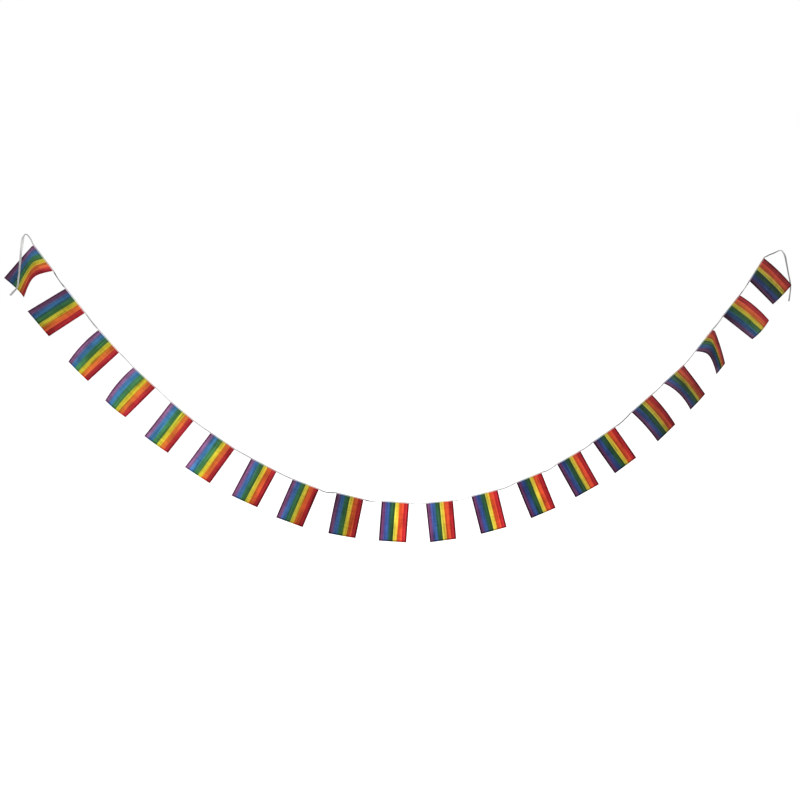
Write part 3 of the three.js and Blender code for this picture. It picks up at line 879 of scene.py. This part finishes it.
even = np.linspace(-1, 1, TAPE_COLUMNS)
tape_across = np.sign(even) * np.abs(even) ** COLUMN_CROWDING
ribbon, ribbon_arc, ribbon_shade_and_dust, ribbon_inside, ribbon_covers = tape_surface(tape_across[None, :])
ribbon_cut = np.stack(
    np.broadcast_arrays(tape_across[None, :] * TAPE_LEAF, ribbon_arc[:, None]), axis=-1
)
tape = cloth_mesh(
    "tape_ribbon",
    ribbon,
    np.full(ribbon.shape[:2], TAPE_THICK),
    ribbon_cut,
    {
        "inside": ribbon_inside[:, None],
        "covers": ribbon_covers[:, None],
        "light": ribbon_shade_and_dust[:, None],
    },
)
tape_finish = tape_cloth()
tape.data.materials.append(tape_finish)

# One row of lockstitch closes the fold over its whole sewn length, and shows on both leaves.
SEAM_ACROSS = 0.74
SEAM_OVERRUN = 14 * MM

leaves = tape_surface(np.array([[SEAM_ACROSS, -SEAM_ACROSS]]))[0]
sewn = ribbon_arc[np.flatnonzero(ribbon_covers)[[0, -1]]]
seam_heads = np.arange(sewn[0] - SEAM_OVERRUN, sewn[1] + SEAM_OVERRUN, STITCH_PITCH)


def on_leaves(arc):
    """The two leaves' middle surfaces on the seam line, at distances along the tape."""
    spots = [np.interp(arc, ribbon_arc, leaves[:, leaf, axis]) for leaf in (0, 1) for axis in range(3)]
    return np.stack(spots, axis=-1).reshape(-1, 2, 3)


seam_out = unit(on_leaves(seam_heads)[:, 0] - on_leaves(seam_heads)[:, 1])
seam_out = np.stack([seam_out, -seam_out], axis=1)
seam_lift = seam_out * TAPE_THICK / 2
# The seam's thread: the ribbon's painted shade and dust, made lighter.
seam_shade_and_dust = np.interp(seam_heads, ribbon_arc, ribbon_shade_and_dust) * THREAD_DYE
seam_inside = np.interp(seam_heads, ribbon_arc, ribbon_inside)
seam_covers = np.interp(seam_heads, ribbon_arc, ribbon_covers)
seam = thread_mesh(
    "tape_stitches",
    (on_leaves(seam_heads) + seam_lift).reshape(-1, 3),
    (on_leaves(seam_heads + STITCH_LENGTH) + seam_lift).reshape(-1, 3),
    seam_out.reshape(-1, 3),
    np.repeat(np.stack([0 * seam_heads, seam_heads], axis=-1), 2, axis=0),
    {
        "inside": np.repeat(seam_inside, 2),
        "covers": np.repeat(seam_covers, 2),
        "light": np.repeat(seam_shade_and_dust, 2),
    },
)
seam.data.materials.append(tape_finish)
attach(tape, "root")
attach(seam, "root")
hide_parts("tape")


# The floor: a wide, plain, pale surface below the garland, which touches nothing of it.
FLOOR_MIDDLE = 2.0
FLOOR_LEVEL = -2.2
FLOOR_REACH = 60.0
FLOOR_GLOW = 0.65

floor_mesh = bpy.data.meshes.new("floor")
floor_corners = [
    (FLOOR_MIDDLE + x * FLOOR_REACH, y * FLOOR_REACH, FLOOR_LEVEL)
    for x, y in ((-1, -1), (1, -1), (1, 1), (-1, 1))
]
floor_mesh.from_pydata(floor_corners, [], [(0, 1, 2, 3)])
floor = bpy.data.objects.new("floor", floor_mesh)
bpy.context.scene.collection.objects.link(floor)
floor_finish = Finish("floor", roughness=0.9, specular=0.1)
floor_finish.shader.inputs["Base Color"].default_value = colour("f4f4f4")
floor_finish.shader.inputs["Emission Color"].default_value = colour("ffffff")
floor_finish.shader.inputs["Emission Strength"].default_value = FLOOR_GLOW
floor_mesh.materials.append(floor_finish.material)


# The light: soft and white from all round, as in a studio with white walls, with one broad
# lamp from the upper left in front and a second one behind the garland, for its back.
AMBIENT = 0.55
LAMPS = {
    # name: power, size, place and the point it shines at
    "key": (58.0, 2.0, (-0.2, -3.6, 1.0), (1.6, 0.0, -0.9)),
    "fill": (42.0, 2.5, (2.6, 4.0, 0.6), (2.0, 0.0, -0.9)),
}

world = bpy.data.worlds.new("studio")
world.use_nodes = True
bpy.context.scene.world = world
sky = world.node_tree.nodes["Background"]
path = world.node_tree.nodes.new("ShaderNodeLightPath")
level = world.node_tree.nodes.new("ShaderNodeMapRange")
level.inputs["To Min"].default_value = AMBIENT
level.inputs["To Max"].default_value = 1.0
world.node_tree.links.new(path.outputs["Is Camera Ray"], level.inputs["Value"])
world.node_tree.links.new(level.outputs["Result"], sky.inputs["Strength"])
sky.inputs["Color"].default_value = (1.0, 1.0, 1.0, 1.0)

for lamp_name, (power, size, place, aim) in LAMPS.items():
    lamp_data = bpy.data.lights.new(lamp_name, "AREA")
    lamp_data.energy = power
    lamp_data.size = size
    lamp = bpy.data.objects.new(lamp_name, lamp_data)
    lamp.location = place
    lamp.rotation_euler = (Vector(aim) - Vector(place)).to_track_quat("-Z", "Y").to_euler()
    bpy.context.scene.collection.objects.link(lamp)
bpy.context.scene.view_settings.view_transform = "Standard"
